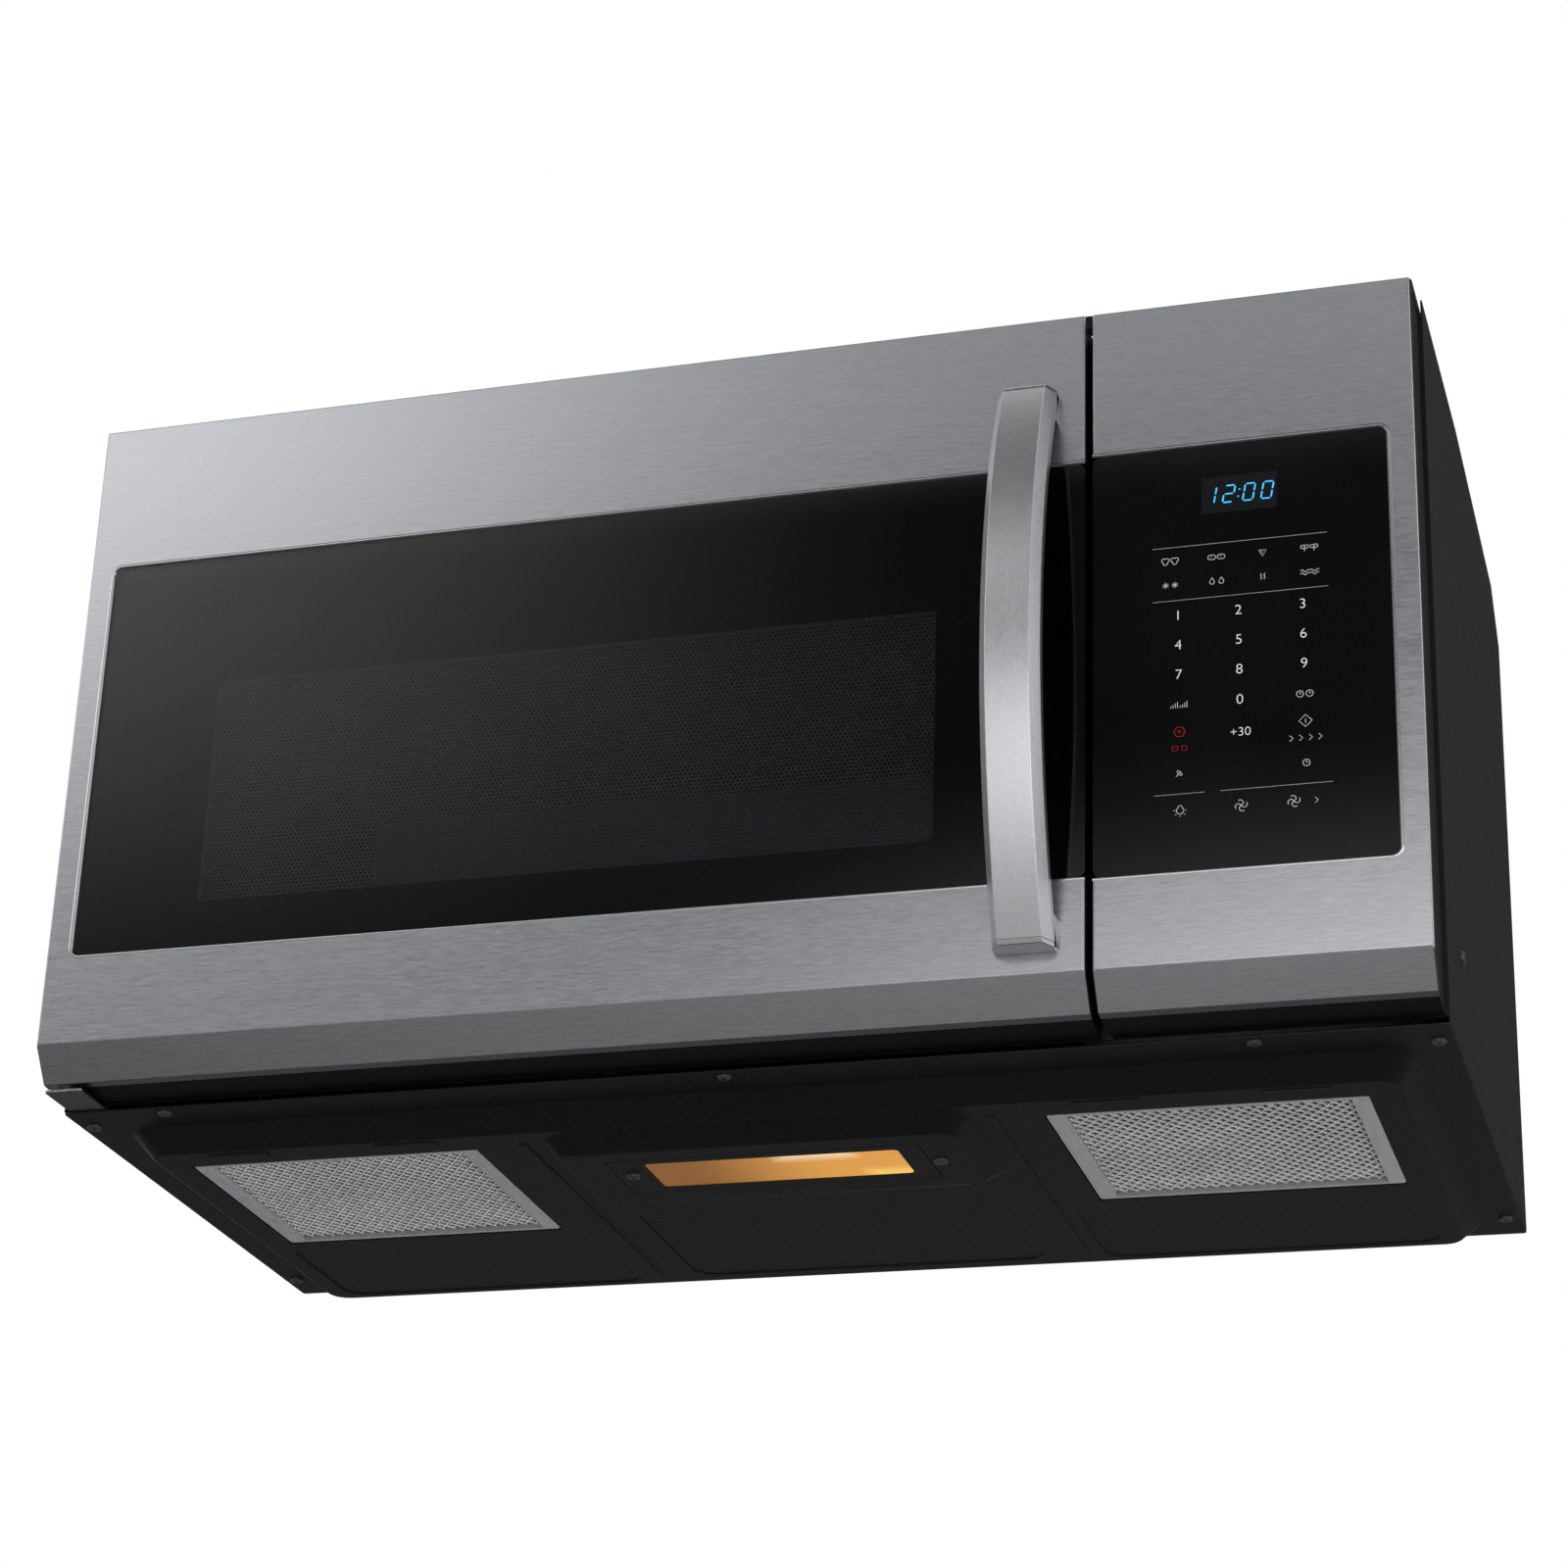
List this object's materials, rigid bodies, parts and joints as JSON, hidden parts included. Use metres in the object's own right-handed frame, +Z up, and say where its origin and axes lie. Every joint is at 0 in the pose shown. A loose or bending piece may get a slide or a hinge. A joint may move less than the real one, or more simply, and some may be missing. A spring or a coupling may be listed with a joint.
{
  "type": "over-the-range microwave",
  "caption": "Wall-hung microwave oven with a left-hinged glass door, bowed handle, keypad panel, vent fan, grease filters and a cooktop lamp below.",
  "frame": {"origin": "centre of the flat back face that rests on the wall", "axes": "+X to the right seen from the front, +Y into the wall, +Z up; the door faces -Y"},
  "size_m": [0.7626, 0.441, 0.4393],
  "materials": {
    "brushed_steel": "vertical brushing, satin",
    "bright_chrome": "polished",
    "black_glass": "glossy, dark tinted",
    "black_plastic": "fine texture",
    "black_paint": "satin black, fine texture",
    "oven_enamel": "light grey enamel",
    "galvanised": "galvanised sheet",
    "screen_paint": "dark satin",
    "filter_aluminium": "bright",
    "amber_lens": "frosted, prismatic",
    "clear_glass": "clear",
    "white_plastic": "satin",
    "circuit_board": "solder mask",
    "display": "dark lens",
    "core_steel": "lacquered laminations",
    "zinc": "zinc plated",
    "reflector": "bright",
    "charcoal": "felt",
    "mica": "matt sheet",
    "bulb_glass": "frosted"
  },
  "bodies": {
    "chassis": {"oven_cavity": "oven_enamel", "component_shelf": "galvanised", "case_top": "black_paint", "case_side_left": "black_paint", "case_side_right": "black_paint", "rear_panel": "galvanised", "base_pan": "black_paint", "vent_grille": "black_plastic", "charcoal_filter": "charcoal", "case_screws": "black_paint", "base_screws": "zinc", "control_skin": "brushed_steel", "control_frame": "black_plastic", "control_glass": "black_glass", "display_module": "display", "control_board": "circuit_board", "interlock_bracket": "white_plastic", "interlock_switches": "black_plastic", "magnetron": "galvanised", "waveguide": "galvanised", "mica_cover": "mica", "hv_transformer": "core_steel", "hv_capacitor": "galvanised", "fan_shroud": "galvanised", "fan_motor": "core_steel", "cavity_lamp": "bulb_glass", "turntable_motor": "galvanised", "blower_housing": "galvanised", "blower_motor": "core_steel", "lamp_reflector": "reflector", "lamp_bulb": "bulb_glass", "lamp_lens": "amber_lens", "lamp_cover": "black_paint", "hinge_lower": "zinc", "hinge_upper": "zinc", "hinge_pins": "zinc"},
    "door": {"door_skin": "brushed_steel", "door_frame": "black_plastic", "door_glass": "black_glass", "door_choke": "screen_paint", "door_screen": "screen_paint", "door_inner_cover": "black_plastic", "handle_bar": "brushed_steel", "handle_caps": "bright_chrome", "handle_screws": "zinc", "latch_spring": "zinc"},
    "latch": {"latch_hooks": "white_plastic"},
    "turntable": {"turntable_coupler": "white_plastic", "glass_tray": "clear_glass"},
    "roller_ring": {"roller_ring": "white_plastic"},
    "roller_1": {"roller_1": "white_plastic"},
    "roller_2": {"roller_2": "white_plastic"},
    "roller_3": {"roller_3": "white_plastic"},
    "blower_rotor": {"blower_wheels": "galvanised", "blower_shaft": "zinc"},
    "cooling_fan": {"fan_blades": "black_plastic"},
    "filter_left": {"filter_frame_left": "filter_aluminium", "filter_mesh_left": "filter_aluminium"},
    "filter_right": {"filter_frame_right": "filter_aluminium", "filter_mesh_right": "filter_aluminium"}
  },
  "joints": [
    {"name": "door_hinge", "type": "hinge", "parent": "chassis", "child": "door", "pos_m": [-0.368, -0.369, 0], "axis": [0, 0, -1], "range_deg": [0, 110]},
    {"name": "latch_slide", "type": "slide", "parent": "door", "child": "latch", "axis": [0, 0, 1], "range_m": [0, 0.005], "stiffness_N_per_m": 200, "springref_m": -0.01, "deforming": ["latch_spring"]},
    {"name": "turntable_spin", "type": "hinge", "parent": "chassis", "child": "turntable", "pos_m": [-0.0925, -0.177, -0.13775], "axis": [0, 0, 1], "continuous": true},
    {"name": "roller_ring_spin", "type": "hinge", "parent": "chassis", "child": "roller_ring", "pos_m": [-0.0925, -0.177, -0.13775], "axis": [0, 0, 1], "continuous": true},
    {"name": "roller_1_spin", "type": "hinge", "parent": "roller_ring", "child": "roller_1", "pos_m": [0.0125, -0.177, -0.12945], "axis": [1, 0, 0], "continuous": true},
    {"name": "roller_2_spin", "type": "hinge", "parent": "roller_ring", "child": "roller_2", "pos_m": [-0.145, -0.08607, -0.12945], "axis": [-0.5, 0.866, 0], "continuous": true},
    {"name": "roller_3_spin", "type": "hinge", "parent": "roller_ring", "child": "roller_3", "pos_m": [-0.145, -0.26793, -0.12945], "axis": [-0.5, -0.866, 0], "continuous": true},
    {"name": "blower_spin", "type": "hinge", "parent": "chassis", "child": "blower_rotor", "pos_m": [-0.07, -0.049, 0.15875], "axis": [1, 0, 0], "continuous": true},
    {"name": "fan_spin", "type": "hinge", "parent": "chassis", "child": "cooling_fan", "pos_m": [0.3, -0.039, -0.05875], "axis": [0, 1, 0], "continuous": true},
    {"name": "filter_left_hinge", "type": "hinge", "parent": "chassis", "child": "filter_left", "pos_m": [-0.2445, -0.136, -0.21925], "axis": [1, 0, 0], "range_deg": [0, 32]},
    {"name": "filter_right_hinge", "type": "hinge", "parent": "chassis", "child": "filter_right", "pos_m": [0.2445, -0.136, -0.21925], "axis": [1, 0, 0], "range_deg": [0, 32]}
  ],
  "couplings": [
    {"joint": "roller_ring_spin", "follows": "turntable_spin", "ratio": 0.5},
    {"joint": "roller_1_spin", "follows": "turntable_spin", "ratio": -6.5625},
    {"joint": "roller_2_spin", "follows": "turntable_spin", "ratio": -6.5625},
    {"joint": "roller_3_spin", "follows": "turntable_spin", "ratio": -6.5625}
  ]
}
